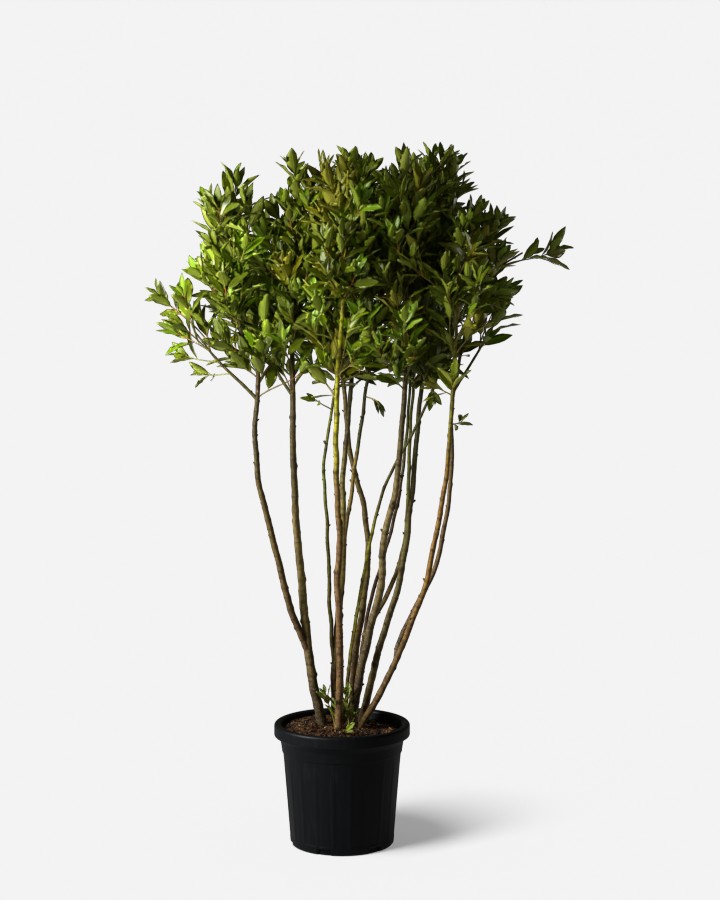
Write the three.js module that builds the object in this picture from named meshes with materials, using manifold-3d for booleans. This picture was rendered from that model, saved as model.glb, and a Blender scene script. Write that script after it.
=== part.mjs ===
// A multi-stem bay laurel in a round nursery pot, in millimetres, +Z up.
// The origin is the middle of the pot's flat underside.
// Bare stems rise from the compost in a loose fan. Each runs on, whole, through the foliage it
// carries, and the crown is a pack of uneven leafy masses cut round the stems and boughs.

import * as THREE from "three";
import { mergeVertices } from "three/addons/utils/BufferGeometryUtils.js";
import Module from "manifold-3d";

const wasm = await Module();
wasm.setup();

// ---------------------------------------------------------------- driving dimensions

const POT_HEIGHT = 362;
const RIM_RADIUS = 200;
const RIM_BAND_HEIGHT = 47; // of which the lowest part slopes in to the collar
const RIM_SLOPE = 14;
const LIP_ROUNDING = 8;
const COLLAR_RADIUS = 182; // the plain band just under the rim
const COLLAR_HEIGHT = 36;
const COLLAR_DRAFT = 5;
const SHOULDER_RADIUS = 174; // the tapered body, at its top and at its foot
const BODY_FOOT_RADIUS = 153;
const FOOT_ROUNDING = 9;
const POT_WALL = 3;
const POT_SEGMENTS = 36;

const DRAIN_COUNT = 6; // notches through the corner of wall and floor
const DRAIN_WIDTH = 44;
const DRAIN_HEIGHT = 17;
const DRAIN_DEPTH = 10; // how far a notch runs in from the wall's face
const DRAIN_TURN = 10; // degrees, from the X axis to the first notch

const COMPOST_TOP = 338;

const CLEARANCE = 0.3; // between two pieces that touch
const LIMB_SIDES = 7;
const LIMB_STEP = 150; // mean length of a limb's facets
const FOOT_CROWDING = 1.3; // facets are shorter towards the foot, where the bends are sharper
const TAPER_POWER = 0.8;
const FLARE = 0.22; // extra thickness at ground level, as a share
const FLARE_HEIGHT = 38;

const MASS_DETAIL = 2; // subdivisions of the icosahedron that each mass is shaped from
const MASS_GAP = 10; // air between two neighbouring masses
const UNEVENNESS = 0.1; // swell and dip of a mass's surface, as a share of its radius

// Stems and boughs. girth is the thickness at the foot and at the tip. A stem starts at its foot
// on the compost, and a limb with a parent leaves the parent's middle line at the height `leaves`.
// Each bend, and last the tip, is [height, x, y].
const LIMBS = [
  {
    name: "stem_left_inner",
    foot: [-59, 40],
    girth: [29, 5],
    bends: [[528, -95, 30], [735, -115, 25], [1000, -137, 21], [1350, -144, 20], [1890, -134, 10]],
  },
  {
    name: "stem_left_outer",
    parent: "stem_left_inner",
    leaves: 535,
    girth: [22, 4],
    bends: [[600, -125, 15], [713, -154, 0], [946, -209, -35], [1101, -243, -50], [1250, -250, -62],
      [1393, -239, -70], [1536, -297, -80], [1736, -349, -90], [1920, -356, -95]],
  },
  {
    name: "stem_front",
    foot: [-10, -15],
    girth: [22, 4],
    bends: [[583, -6, -25], [800, -12, -40], [942, -6, -50], [1094, -15, -70], [1413, -10, -130],
      [1635, 7, -160], [1975, 19, -170]],
  },
  {
    name: "stem_middle",
    foot: [-22, 70],
    girth: [22, 4],
    bends: [[557, -22, 62], [716, -5, 50], [915, 5, 42], [1114, 3, 48], [1317, 26, 60],
      [1607, 32, 70], [1940, 38, 75]],
  },
  {
    name: "stem_middle_right",
    parent: "stem_middle",
    leaves: 905,
    girth: [12, 4],
    bends: [[963, 16, 35], [1118, 38, 12], [1307, 65, -20], [1466, 88, -50], [1667, 125, -80],
      [1866, 144, -100]],
  },
  {
    name: "stem_slender",
    parent: "stem_middle",
    leaves: 560,
    girth: [9.5, 4],
    bends: [[640, -33, 44], [735, -38, 30], [898, -39, 15], [1069, -54, 0], [1221, -42, 0],
      [1405, -8, 8], [1521, 1, 15]],
  },
  {
    name: "stem_back",
    foot: [30, 108],
    girth: [22, 4],
    bends: [[513, 36, 104], [757, 71, 112], [890, 79, 119], [940, 75, 122], [1104, 32, 145],
      [1257, 12, 175], [1542, -8, 250], [1875, -26, 285]],
  },
  {
    name: "stem_diagonal",
    foot: [8, 82],
    girth: [8.5, 4],
    bends: [[519, 21, 72], [727, 53, 76], [866, 79, 70], [995, 106, 45], [1148, 161, -5],
      [1263, 229, -18], [1434, 290, -5], [1560, 300, 5]],
  },
  {
    name: "stem_right_inner",
    foot: [26, 50],
    girth: [27, 4],
    bends: [[541, 62, 55], [715, 103, 40], [822, 126, 25], [953, 125, 5], [1038, 154, -20],
      [1260, 174, -85], [1470, 187, -135], [1640, 183, -160], [1920, 176, -170]],
  },
  {
    name: "stem_right_slender",
    parent: "stem_right_inner",
    leaves: 535,
    girth: [11, 4],
    bends: [[640, 69, 76], [779, 103, 78], [941, 151, 66], [1108, 179, 45], [1241, 192, 45],
      [1356, 201, 85], [1604, 215, 190], [1870, 216, 228]],
  },
  {
    name: "stem_right_back",
    parent: "stem_right_inner",
    leaves: 672,
    girth: [14, 5],
    bends: [[712, 122, 82], [750, 146, 108], [860, 183, 124], [979, 195, 122], [1187, 201, 115],
      [1366, 213, 155], [1560, 220, 185]],
  },
  {
    name: "stem_right",
    foot: [58, 92],
    girth: [22, 4],
    bends: [[565, 110, 90], [771, 171, 80], [992, 202, 70], [1234, 223, 55], [1490, 246, 50],
      [1666, 262, 52], [1935, 276, 55]],
  },
  {
    name: "stem_far_right_front",
    foot: [54, 10],
    girth: [20, 4],
    bends: [[519, 146, -8], [676, 207, -28], [810, 253, -48], [959, 278, -65], [1129, 305, -90],
      [1330, 316, -125], [1539, 325, -160], [1850, 334, -175]],
  },
  {
    name: "stem_far_right_back",
    parent: "stem_far_right_front",
    leaves: 505,
    girth: [16, 4],
    bends: [[562, 156, 2], [706, 217, 8], [808, 268, 2], [970, 304, -18], [1191, 323, -40],
      [1330, 320, -44], [1523, 359, -30], [1868, 414, -10]],
  },
  {
    name: "bough_far_left",
    parent: "stem_left_outer",
    leaves: 1330,
    girth: [9.5, 4],
    bends: [[1398, -317, -85], [1462, -374, -103], [1520, -417, -117]],
  },
  {
    name: "bough_left",
    parent: "stem_left_outer",
    leaves: 1378,
    girth: [8.5, 4],
    bends: [[1430, -200, -58], [1485, -170, -50]],
  },
  {
    name: "bough_back_left",
    parent: "stem_left_inner",
    leaves: 1355,
    girth: [9, 4],
    bends: [[1410, -205, 60], [1475, -230, 98], [1560, -243, 135]],
  },
  {
    name: "bough_right_spray",
    parent: "stem_far_right_back",
    leaves: 1620,
    girth: [8, 4],
    bends: [[1690, 440, -8], [1735, 505, 4], [1745, 524, 7]],
  },
  {
    name: "bough_right_low",
    parent: "stem_far_right_back",
    leaves: 1345,
    girth: [8, 4],
    bends: [[1420, 372, -22], [1490, 415, 0], [1515, 428, 5]],
  },
];

// The masses of foliage: the middle, the half-widths along x, y and z, and the lean of the
// mass's axis, as its sideways run over its rise.
const MASSES = [
  { name: "foliage_far_left", middle: [-445, -120, 1560], half: [85, 95, 125], lean: [-0.5, 0] },
  { name: "foliage_left_top", middle: [-330, -90, 1785], half: [96, 120, 215], lean: [0.1, 0] },
  { name: "foliage_left_low", middle: [-300, -78, 1515], half: [105, 125, 150], lean: [-0.2, 0] },
  { name: "foliage_back_left", middle: [-235, 165, 1685], half: [140, 140, 290], lean: [0.05, 0] },
  { name: "foliage_inner_left_top", middle: [-140, 10, 1805], half: [98, 120, 210], lean: [0.1, 0] },
  { name: "foliage_inner_left_low", middle: [-150, -25, 1500], half: [100, 125, 165], lean: [0, 0] },
  { name: "foliage_front_top", middle: [15, -178, 1865], half: [98, 105, 225], lean: [0, 0] },
  { name: "foliage_front_low", middle: [0, -155, 1555], half: [108, 110, 170], lean: [0, 0] },
  { name: "foliage_middle_top", middle: [38, 62, 1855], half: [105, 115, 200], lean: [0, 0] },
  { name: "foliage_middle_low", middle: [15, 38, 1520], half: [110, 115, 180], lean: [0, 0] },
  { name: "foliage_back_top", middle: [-28, 285, 1845], half: [130, 125, 190], lean: [0, 0] },
  { name: "foliage_back_low", middle: [-12, 245, 1545], half: [130, 125, 170], lean: [0, 0] },
  { name: "foliage_right_front_top", middle: [168, -150, 1855], half: [98, 112, 205], lean: [0, 0] },
  { name: "foliage_right_front_low", middle: [155, -130, 1530], half: [105, 115, 190], lean: [0, 0] },
  { name: "foliage_back_right_top", middle: [212, 228, 1840], half: [135, 130, 190], lean: [0, 0] },
  { name: "foliage_back_right_low", middle: [215, 190, 1510], half: [125, 125, 180], lean: [0, 0] },
  { name: "foliage_right_top", middle: [285, 45, 1855], half: [98, 112, 200], lean: [0, 0] },
  { name: "foliage_right_low", middle: [280, 0, 1510], half: [105, 120, 175], lean: [0, 0] },
  { name: "foliage_outer_right_top", middle: [385, 5, 1790], half: [98, 120, 175], lean: [-0.1, 0] },
  { name: "foliage_outer_right_front", middle: [340, -172, 1690], half: [92, 98, 230], lean: [0, 0] },
  { name: "foliage_outer_right_low", middle: [430, 12, 1575], half: [100, 112, 115], lean: [0.25, 0] },
  { name: "foliage_right_spray", middle: [565, 12, 1750], half: [82, 65, 68], lean: [0.2, 0] },
];

// ---------------------------------------------------------------- materials

const blackPlastic = new THREE.MeshStandardMaterial({ color: 0x1b1d1f, roughness: 0.55, metalness: 0 });
const darkCompost = new THREE.MeshStandardMaterial({ color: 0x4a2f22, roughness: 0.95, metalness: 0 });
const brownBark = new THREE.MeshStandardMaterial({ color: 0x6f6445, roughness: 0.8, metalness: 0 });
const greenBark = new THREE.MeshStandardMaterial({ color: 0x77802f, roughness: 0.7, metalness: 0 });
const bayLeaves = new THREE.MeshStandardMaterial({ color: 0x3f5a1c, roughness: 0.6, metalness: 0 });

const GREEN_GIRTH = 13; // limbs thinner than this at the foot are still green

// ---------------------------------------------------------------- solids

// A closed geometry as a manifold-3d solid, for joining and cutting.
function solidOf(geometry) {
  geometry.deleteAttribute("normal");
  geometry.deleteAttribute("uv");
  const merged = mergeVertices(geometry, 1e-3);
  return new wasm.Manifold(
    new wasm.Mesh({
      numProp: 3,
      vertProperties: merged.attributes.position.array,
      triVerts: new Uint32Array(merged.index.array),
    }),
  );
}

// The other way: a solid's surface as a geometry.
function geometryOf(solid) {
  const mesh = solid.getMesh();
  const geometry = new THREE.BufferGeometry()
    .setAttribute("position", new THREE.BufferAttribute(new Float32Array(mesh.vertProperties), 3))
    .setIndex(new THREE.BufferAttribute(mesh.triVerts, 1));
  geometry.computeVertexNormals();
  return geometry;
}

// A cut can shave off slivers: the piece itself is the largest body.
function largestBody(solid) {
  return solid.decompose().reduce((a, b) => (b.volume() > a.volume() ? b : a));
}

function named(name, geometry, material) {
  const mesh = new THREE.Mesh(geometry, material);
  mesh.name = name;
  return mesh;
}

// A profile of [radius, height] pairs spun about the Z axis.
function spun(profile) {
  const points = profile.map(([radius, height]) => new THREE.Vector2(radius, height));
  return new THREE.LatheGeometry(points, POT_SEGMENTS).rotateX(Math.PI / 2);
}

// ---------------------------------------------------------------- pot and compost

const BAND_BOTTOM = POT_HEIGHT - RIM_BAND_HEIGHT;
const COLLAR_BOTTOM = BAND_BOTTOM - COLLAR_HEIGHT;

// Outside from the underside up to the lip, then down the inside to the floor.
function makePot() {
  const lip = POT_HEIGHT - LIP_ROUNDING;
  const mouth = COLLAR_RADIUS - POT_WALL;
  const shell = solidOf(
    spun([
      [0, 0],
      [BODY_FOOT_RADIUS - FOOT_ROUNDING, 0],
      [BODY_FOOT_RADIUS - FOOT_ROUNDING / 4, FOOT_ROUNDING / 3],
      [BODY_FOOT_RADIUS, FOOT_ROUNDING],
      [SHOULDER_RADIUS, COLLAR_BOTTOM - 2],
      [COLLAR_RADIUS - COLLAR_DRAFT, COLLAR_BOTTOM],
      [COLLAR_RADIUS, BAND_BOTTOM],
      [RIM_RADIUS, BAND_BOTTOM + RIM_SLOPE],
      [RIM_RADIUS, lip],
      [RIM_RADIUS - LIP_ROUNDING / 3, POT_HEIGHT - LIP_ROUNDING / 3],
      [RIM_RADIUS - LIP_ROUNDING, POT_HEIGHT],
      [mouth + LIP_ROUNDING, POT_HEIGHT],
      [mouth + 1, lip],
      [mouth - COLLAR_DRAFT, COLLAR_BOTTOM],
      [BODY_FOOT_RADIUS - POT_WALL - 1, FOOT_ROUNDING],
      [BODY_FOOT_RADIUS - POT_WALL - FOOT_ROUNDING / 2, POT_WALL],
      [0, POT_WALL],
    ]),
  );
  const notch = new THREE.BoxGeometry(2 * DRAIN_DEPTH, DRAIN_WIDTH, 2 * DRAIN_HEIGHT);
  notch.translate(BODY_FOOT_RADIUS, 0, 0);
  let pot = shell;
  for (let i = 0; i < DRAIN_COUNT; i++) {
    const turn = (DRAIN_TURN / 360 + i / DRAIN_COUNT) * 2 * Math.PI;
    pot = pot.subtract(solidOf(notch.clone().rotateZ(turn)));
  }
  return named("pot", geometryOf(pot), blackPlastic);
}

// The root ball fills the pot to below the rim, and stays clear of the drain notches.
function makeCompost() {
  const gap = CLEARANCE + 1;
  const foot = BODY_FOOT_RADIUS - DRAIN_DEPTH - 2;
  const profile = [
    [0, POT_WALL + CLEARANCE],
    [foot, POT_WALL + CLEARANCE],
    [foot, DRAIN_HEIGHT + 1],
    [BODY_FOOT_RADIUS - POT_WALL - gap, DRAIN_HEIGHT + 4],
    [COLLAR_RADIUS - COLLAR_DRAFT - POT_WALL - gap, COLLAR_BOTTOM],
    [COLLAR_RADIUS - POT_WALL - gap, COMPOST_TOP],
    [0, COMPOST_TOP],
  ];
  return named("compost", geometryOf(solidOf(spun(profile))), darkCompost);
}

// ---------------------------------------------------------------- limbs

// The middle line of a limb, through its foot and its bends.
function middleLine(limb, lines) {
  const start = limb.parent
    ? atHeight(lines.get(limb.parent), limb.leaves)
    : new THREE.Vector3(...limb.foot, COMPOST_TOP + CLEARANCE);
  const bends = limb.bends.map(([height, x, y]) => new THREE.Vector3(x, y, height));
  return new THREE.CatmullRomCurve3([start, ...bends], false, "centripetal");
}

// The point of a rising line at a height, by halving.
function atHeight(line, height) {
  let low = 0;
  let high = 1;
  for (let i = 0; i < 40; i++) {
    const half = (low + high) / 2;
    if (line.getPoint(half).z < height) low = half;
    else high = half;
  }
  return line.getPoint(low);
}

// A unit cylinder bent along the limb's middle line, tapering from foot to tip, with its root
// flare and a level cut at the ground. `grown` thickens and lengthens it, to cut a clear way.
function limbSolid(limb, line, grown) {
  const length = line.getLength();
  const steps = Math.max(3, Math.round(length / LIMB_STEP));
  const cylinder = new THREE.CylinderGeometry(1, 1, 1, LIMB_SIDES, steps);
  const position = cylinder.getAttribute("position");
  const [footGirth, tipGirth] = limb.girth;
  const spare = grown / Math.cos(Math.PI / LIMB_SIDES);
  for (let i = 0; i < position.count; i++) {
    const share = (position.getY(i) + 0.5) ** FOOT_CROWDING;
    const along = share * length;
    const fromGround = limb.parent ? Infinity : along;
    const flare = 1 + FLARE * Math.exp(-fromGround / FLARE_HEIGHT);
    const girth = tipGirth + (footGirth - tipGirth) * (1 - share) ** TAPER_POWER;
    const radius = (girth / 2) * flare + spare;
    const centre = line.getPointAt(share);
    const heading = line.getTangentAt(share);
    if (share === 0 && !limb.parent) heading.set(0, 0, 1);
    if (share === 0) centre.addScaledVector(heading, -grown);
    if (share === 1) centre.addScaledVector(heading, grown);
    const across = new THREE.Vector3(0, 1, 0).cross(heading).normalize();
    const back = heading.clone().cross(across);
    centre.addScaledVector(across, position.getX(i) * radius);
    centre.addScaledVector(back, -position.getZ(i) * radius);
    position.setXYZ(i, centre.x, centre.y, centre.z);
  }
  return solidOf(cylinder);
}

// ---------------------------------------------------------------- masses of foliage

// How far a mass's own ellipsoid reaches along a unit direction, before it swells or is trimmed.
function reachOf(mass, direction) {
  const [halfX, halfY, halfZ] = mass.half;
  const [leanX, leanY] = mass.lean;
  const x = direction.x - leanX * direction.z;
  const y = direction.y - leanY * direction.z;
  return 1 / Math.hypot(x / halfX, y / halfY, direction.z / halfZ);
}

// The planes that part a mass from its neighbours, each at the point between the two middles
// that splits the way in the ratio of the two reaches.
function partings(mass) {
  const middle = new THREE.Vector3(...mass.middle);
  return MASSES.filter((other) => other !== mass).map((other) => {
    const way = new THREE.Vector3(...other.middle).sub(middle);
    const distance = way.length();
    const normal = way.normalize();
    const own = reachOf(mass, normal);
    const theirs = reachOf(other, normal.clone().negate());
    return { normal, distance: (distance * own) / (own + theirs) - MASS_GAP / 2 };
  });
}

// An icosphere pushed out, vertex by vertex, to the ellipsoid with slow waves on it, and held
// back at each parting plane.
function massSolid(mass, index) {
  const planes = partings(mass);
  const sphere = new THREE.IcosahedronGeometry(1, MASS_DETAIL);
  const position = sphere.getAttribute("position");
  const direction = new THREE.Vector3();
  const phase = 1.7 * index;
  for (let i = 0; i < position.count; i++) {
    direction.fromBufferAttribute(position, i).normalize();
    const waves =
      Math.sin(4.1 * direction.x + phase) +
      Math.sin(4.7 * direction.y + 2.3 * phase) +
      Math.sin(5.3 * direction.z + 3.1 * phase);
    let reach = reachOf(mass, direction) * (1 + (UNEVENNESS * waves) / 2);
    for (const { normal, distance } of planes) {
      const towards = direction.dot(normal);
      if (towards > 0) reach = Math.min(reach, distance / towards);
    }
    direction.multiplyScalar(reach);
    position.setXYZ(
      i,
      mass.middle[0] + direction.x,
      mass.middle[1] + direction.y,
      mass.middle[2] + direction.z,
    );
  }
  return solidOf(sphere);
}

// ---------------------------------------------------------------- the whole plant

const plant = new THREE.Group();
plant.add(makePot(), makeCompost());

const lines = new Map();
for (const limb of LIMBS) lines.set(limb.name, middleLine(limb, lines));

for (const limb of LIMBS) {
  let solid = limbSolid(limb, lines.get(limb.name), 0);
  if (limb.parent) {
    const parent = LIMBS.find((other) => other.name === limb.parent);
    solid = largestBody(solid.subtract(limbSolid(parent, lines.get(parent.name), CLEARANCE)));
  }
  const bark = limb.girth[0] < GREEN_GIRTH ? greenBark : brownBark;
  plant.add(named(limb.name, geometryOf(solid), bark));
}

const ways = LIMBS.map((limb) => limbSolid(limb, lines.get(limb.name), CLEARANCE));
MASSES.forEach((mass, index) => {
  let solid = massSolid(mass, index);
  for (const way of ways) solid = solid.subtract(way);
  plant.add(named(mass.name, geometryOf(largestBody(solid)), bayLeaves));
});

export default plant;
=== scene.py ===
"""A potted multi-stem bay laurel: nursery pot, compost, bare stems and an unclipped leafy crown."""

import math

import bpy
import numpy as np
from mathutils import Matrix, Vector
from mathutils.bvhtree import BVHTree


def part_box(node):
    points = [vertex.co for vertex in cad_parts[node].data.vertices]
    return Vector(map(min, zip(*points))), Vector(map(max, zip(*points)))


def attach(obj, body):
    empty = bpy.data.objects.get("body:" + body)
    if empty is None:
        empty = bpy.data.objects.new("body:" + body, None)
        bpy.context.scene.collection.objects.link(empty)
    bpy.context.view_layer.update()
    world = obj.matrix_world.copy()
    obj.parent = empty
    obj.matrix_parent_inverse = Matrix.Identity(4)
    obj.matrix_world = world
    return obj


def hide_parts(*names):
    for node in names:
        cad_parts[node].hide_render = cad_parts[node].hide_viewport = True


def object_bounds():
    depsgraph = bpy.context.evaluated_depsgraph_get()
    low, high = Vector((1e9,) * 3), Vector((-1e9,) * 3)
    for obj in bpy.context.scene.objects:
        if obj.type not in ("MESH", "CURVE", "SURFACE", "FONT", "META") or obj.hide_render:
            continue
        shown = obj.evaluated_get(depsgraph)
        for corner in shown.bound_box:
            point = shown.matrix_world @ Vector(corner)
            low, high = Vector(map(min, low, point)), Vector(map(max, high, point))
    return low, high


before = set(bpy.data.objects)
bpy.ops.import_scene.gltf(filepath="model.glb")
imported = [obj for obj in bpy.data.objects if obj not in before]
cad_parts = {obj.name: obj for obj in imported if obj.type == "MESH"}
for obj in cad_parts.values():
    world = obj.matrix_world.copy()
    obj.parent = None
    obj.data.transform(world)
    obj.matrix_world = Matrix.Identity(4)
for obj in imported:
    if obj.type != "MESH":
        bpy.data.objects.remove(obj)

scene = bpy.context.scene
cad_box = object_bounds()

# ---------------------------------------------------------------------------- camera
# The camera stands level with the crown, well back on the plant's front side, and looks
# slightly down, so that the stems hang straight in the picture.

CAMERA_PLACE = (0.053, -6.0, 1.75)
CAMERA_DIP = 5.51  # degrees below the horizon
CAMERA_LENS = 82.52  # mm, on a sensor 36 mm long

camera_data = bpy.data.cameras.new("camera")
camera_data.sensor_width = 36
camera_data.lens = CAMERA_LENS
camera = bpy.data.objects.new("camera", camera_data)
camera.location = CAMERA_PLACE
camera.rotation_euler = (math.radians(90 - CAMERA_DIP), 0, 0)
scene.collection.objects.link(camera)
scene.camera = camera

# ---------------------------------------------------------------------------- pot
# A round nursery pot, moulded in black polypropylene with a slight sheen: a tapered body with
# shallow upright panels, a plain collar and a turned-out rim with a rolled lip. Six notches
# through the corner of wall and floor let it drain.

TAU = 2 * math.pi
MM = 0.001

pot_low, pot_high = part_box("pot")
RIM_RADIUS = (pot_high.x - pot_low.x) / 2
POT_HEIGHT = pot_high.z
LIP_ROUNDING = 8 * MM
BAND_BOTTOM = POT_HEIGHT - 47 * MM
BAND_SLOPE = 14 * MM
COLLAR_BOTTOM = BAND_BOTTOM - 36 * MM
COLLAR_RADIUS = 182 * MM
COLLAR_DRAFT = 5 * MM
SHOULDER_RADIUS = 174 * MM
FOOT_RADIUS = 153 * MM
FOOT_ROUNDING = 9 * MM
POT_WALL = 3 * MM

PANELS = 20
PANEL_HALF_WIDTH = 22 * MM
PANEL_TOP = COLLAR_BOTTOM - 7 * MM
PANEL_BOTTOM = 22 * MM
PANEL_DOME = 13 * MM
PANEL_DEPTH = 1.4 * MM

DRAINS = 6
DRAIN_TURN = math.radians(10)
DRAIN_HALF_WIDTH = 22 * MM
DRAIN_HEIGHT = 17 * MM
DRAIN_DEPTH = 9.5 * MM
DRAIN_EDGES = np.array([-22.4, -21.8, 21.8, 22.4]) * MM  # mesh columns at both sides of a notch
PANEL_COLUMNS = 15


class Signal:
    """A shader socket that takes part in Python sums: each operator adds its own Math node."""

    def __init__(self, tree, socket):
        self.tree = tree
        self.socket = socket

    def combine(self, operation, first, second):
        node = self.tree.nodes.new("ShaderNodeMath")
        node.operation = operation
        for entry, value in zip(node.inputs, (first, second)):
            plug(self.tree, entry, value)
        return Signal(self.tree, node.outputs[0])

    def __add__(self, other):
        return self.combine("ADD", self, other)

    def __sub__(self, other):
        return self.combine("SUBTRACT", self, other)

    def __mul__(self, other):
        return self.combine("MULTIPLY", self, other)

    def __truediv__(self, other):
        return self.combine("DIVIDE", self, other)

    def __radd__(self, other):
        return self.combine("ADD", other, self)

    def __rsub__(self, other):
        return self.combine("SUBTRACT", other, self)

    def __rmul__(self, other):
        return self.combine("MULTIPLY", other, self)

    def __rtruediv__(self, other):
        return self.combine("DIVIDE", other, self)


def plug(tree, entry, value):
    """Feeds a socket with a link or with a fixed value."""
    if isinstance(value, Signal):
        tree.links.new(value.socket, entry)
    else:
        entry.default_value = value


class Finish:
    """One material in the making."""

    def __init__(self, name):
        self.material = bpy.data.materials.new(name)
        self.material.use_nodes = True
        self.tree = self.material.node_tree
        self.tree.nodes.clear()

    def node(self, kind, settings=None, sockets=None, output=0):
        """Adds a node of any type: first its settings, then the values or links of its sockets."""
        node = self.tree.nodes.new("ShaderNode" + kind)
        for key, value in (settings or {}).items():
            if key == "stops":
                set_stops(node.color_ramp.elements, value)
            else:
                setattr(node, key, value)
        for key, value in (sockets or {}).items():
            plug(self.tree, node.inputs[key], value)
        return Signal(self.tree, node.outputs[output]) if node.outputs else None

    def places(self, stretch=(1, 1, 1)):
        """The piece's own coordinates, in metres, times a stretch along each axis."""
        own = self.node("TexCoord", output="Object")
        return self.node("Mapping", sockets={"Vector": own, "Scale": stretch})

    def noise(self, scale, detail=2.0, stretch=(1, 1, 1)):
        """Soft noise from 0 to 1, with `scale` swells to the metre."""
        sockets = {"Vector": self.places(stretch), "Scale": scale, "Detail": detail}
        return self.node("TexNoise", sockets=sockets)

    def ramp(self, value, *stops):
        """A value turned into a colour, or a share, between stops of (position, colour)."""
        return self.node("ValToRGB", {"stops": stops}, {"Fac": value})

    def rise(self, value, low, high, top=1):
        """A share that is 0 below one value and rises evenly to `top` at another."""
        return self.ramp(value, (low, grey(0)), (high, grey(top)))

    def blend(self, share, first, second):
        """The first colour where the share is 0, the second where it is 1. A colour is a link or
        a hex code."""
        first, second = (paint(c) if isinstance(c, str) else c for c in (first, second))
        return self.node("Mix", {"data_type": "RGBA"}, {0: share, 6: first, 7: second}, output=2)

    def bump(self, height, depth):
        """The surface's direction, tilted by a height from 0 to 1 that stands `depth` metres."""
        return self.node("Bump", sockets={"Height": height, "Distance": depth, "Strength": 1.0})

    def shade(self, **sockets):
        """Closes the material with its surface shader."""
        named = {key.replace("_", " "): value for key, value in sockets.items()}
        surface = self.node("BsdfPrincipled", sockets=named)
        self.node("OutputMaterial", sockets={"Surface": surface})
        return self.material


def set_stops(elements, stops):
    """A ramp's stops, from (position, colour) pairs."""
    while len(elements) < len(stops):
        elements.new(1.0)
    for element, (position, shown) in zip(elements, stops):
        element.position = position
        element.color = shown


def paint(code):
    """A hex colour as linear red, green, blue and 1."""
    shares = np.array([int(code[i:i + 2], 16) for i in (0, 2, 4)]) / 255
    linear = np.where(shares < 0.04045, shares / 12.92, ((shares + 0.055) / 1.055) ** 2.4)
    return (*linear.tolist(), 1.0)


def grey(level):
    """A share as a grey colour."""
    return (level, level, level, 1.0)


def ease(x):
    """0 below 0, 1 above 1, and a smooth rise between: 3 x squared less 2 x cubed."""
    x = np.clip(x, 0, 1)
    return x * x * (3 - 2 * x)


def turns(count):
    """Angles at even shares of a full turn, from 0 on."""
    return np.arange(count) / count * TAU


def about_axis(radius, angle, height):
    """Places round the plant's upright axis: the radius times the angle's cosine and sine."""
    return np.stack([radius * np.cos(angle), radius * np.sin(angle), height], -1)


def arc(centre, radius, start, end, steps):
    """Points of a circle at even angles: the centre plus the radius times (cos, sin)."""
    turn = np.radians(np.linspace(start, end, steps))
    return np.stack([centre[0] + radius * np.cos(turn), centre[1] + radius * np.sin(turn)], 1)


def straight(start, end, steps):
    """Points at even shares of the way from start to end, both included."""
    share = np.linspace(0, 1, steps)[:, None]
    return np.asarray(start) * (1 - share) + np.asarray(end) * share


def skin(rings):
    """Vertices and faces of a closed skin over rings of points (rings x points x 3): quads from
    each ring to the next, and a fan from the first and the last ring to its own mean point."""
    count, around = rings.shape[:2]
    vertices = np.concatenate([rings.reshape(-1, 3), [rings[0].mean(0)], [rings[-1].mean(0)]])
    row = np.arange(count - 1)[:, None] * around
    here = np.arange(around)
    after = (here + 1) % around
    quads = np.stack(np.broadcast_arrays(row + here, row + after, row + around + after,
                                         row + around + here), -1).reshape(-1, 4)
    foot = np.stack([np.full(around, count * around), after, here], 1)
    top = (count - 1) * around
    head = np.stack([top + here, top + after, np.full(around, count * around + 1)], 1)
    return vertices, [quads, foot, head]


def piece(name, vertices, faces, materials, shades=None, marks=None, rounded=True):
    """A mesh piece that rides on the plant. `faces` is a list of arrays of corner numbers, three
    or four to a face; `shades` gives each face's material, and `marks` names values per vertex."""
    mesh = bpy.data.meshes.new(name)
    corners = np.concatenate([f.ravel() for f in faces]).astype(np.int32)
    sizes = np.concatenate([np.full(len(f), f.shape[1]) for f in faces])
    mesh.vertices.add(len(vertices))
    mesh.vertices.foreach_set("co", np.asarray(vertices, np.float32).ravel())
    mesh.loops.add(len(corners))
    mesh.loops.foreach_set("vertex_index", corners)
    mesh.polygons.add(len(sizes))
    starts = np.concatenate([[0], np.cumsum(sizes)[:-1]]).astype(np.int32)
    mesh.polygons.foreach_set("loop_start", starts)
    for material in materials:
        mesh.materials.append(material)
    if shades is not None:
        mesh.polygons.foreach_set("material_index", np.asarray(shades, np.int32))
    mesh.polygons.foreach_set("use_smooth", np.full(len(sizes), rounded))
    for key, values in (marks or {}).items():
        if values.ndim == 2:
            layer = mesh.uv_layers.new(name=key)
            layer.data.foreach_set("uv", values[corners].astype(np.float32).ravel())
        else:
            layer = mesh.attributes.new(key, "FLOAT", "POINT")
            layer.data.foreach_set("value", values.astype(np.float32))
    mesh.update(calc_edges=True)
    made = bpy.data.objects.new(name, mesh)
    scene.collection.objects.link(made)
    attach(made, "root")
    return made


def body_radius(height):
    """The radius of the tapered body, straight from foot to shoulder."""
    return np.interp(height, [FOOT_ROUNDING, COLLAR_BOTTOM], [FOOT_RADIUS, SHOULDER_RADIUS])


def near_drain(angle):
    """Distance along the wall from an angle to the middle of the nearest drain notch."""
    pitch = TAU / DRAINS
    away = (angle - DRAIN_TURN + pitch / 2) % pitch - pitch / 2
    return np.abs(away) * FOOT_RADIUS


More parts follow.
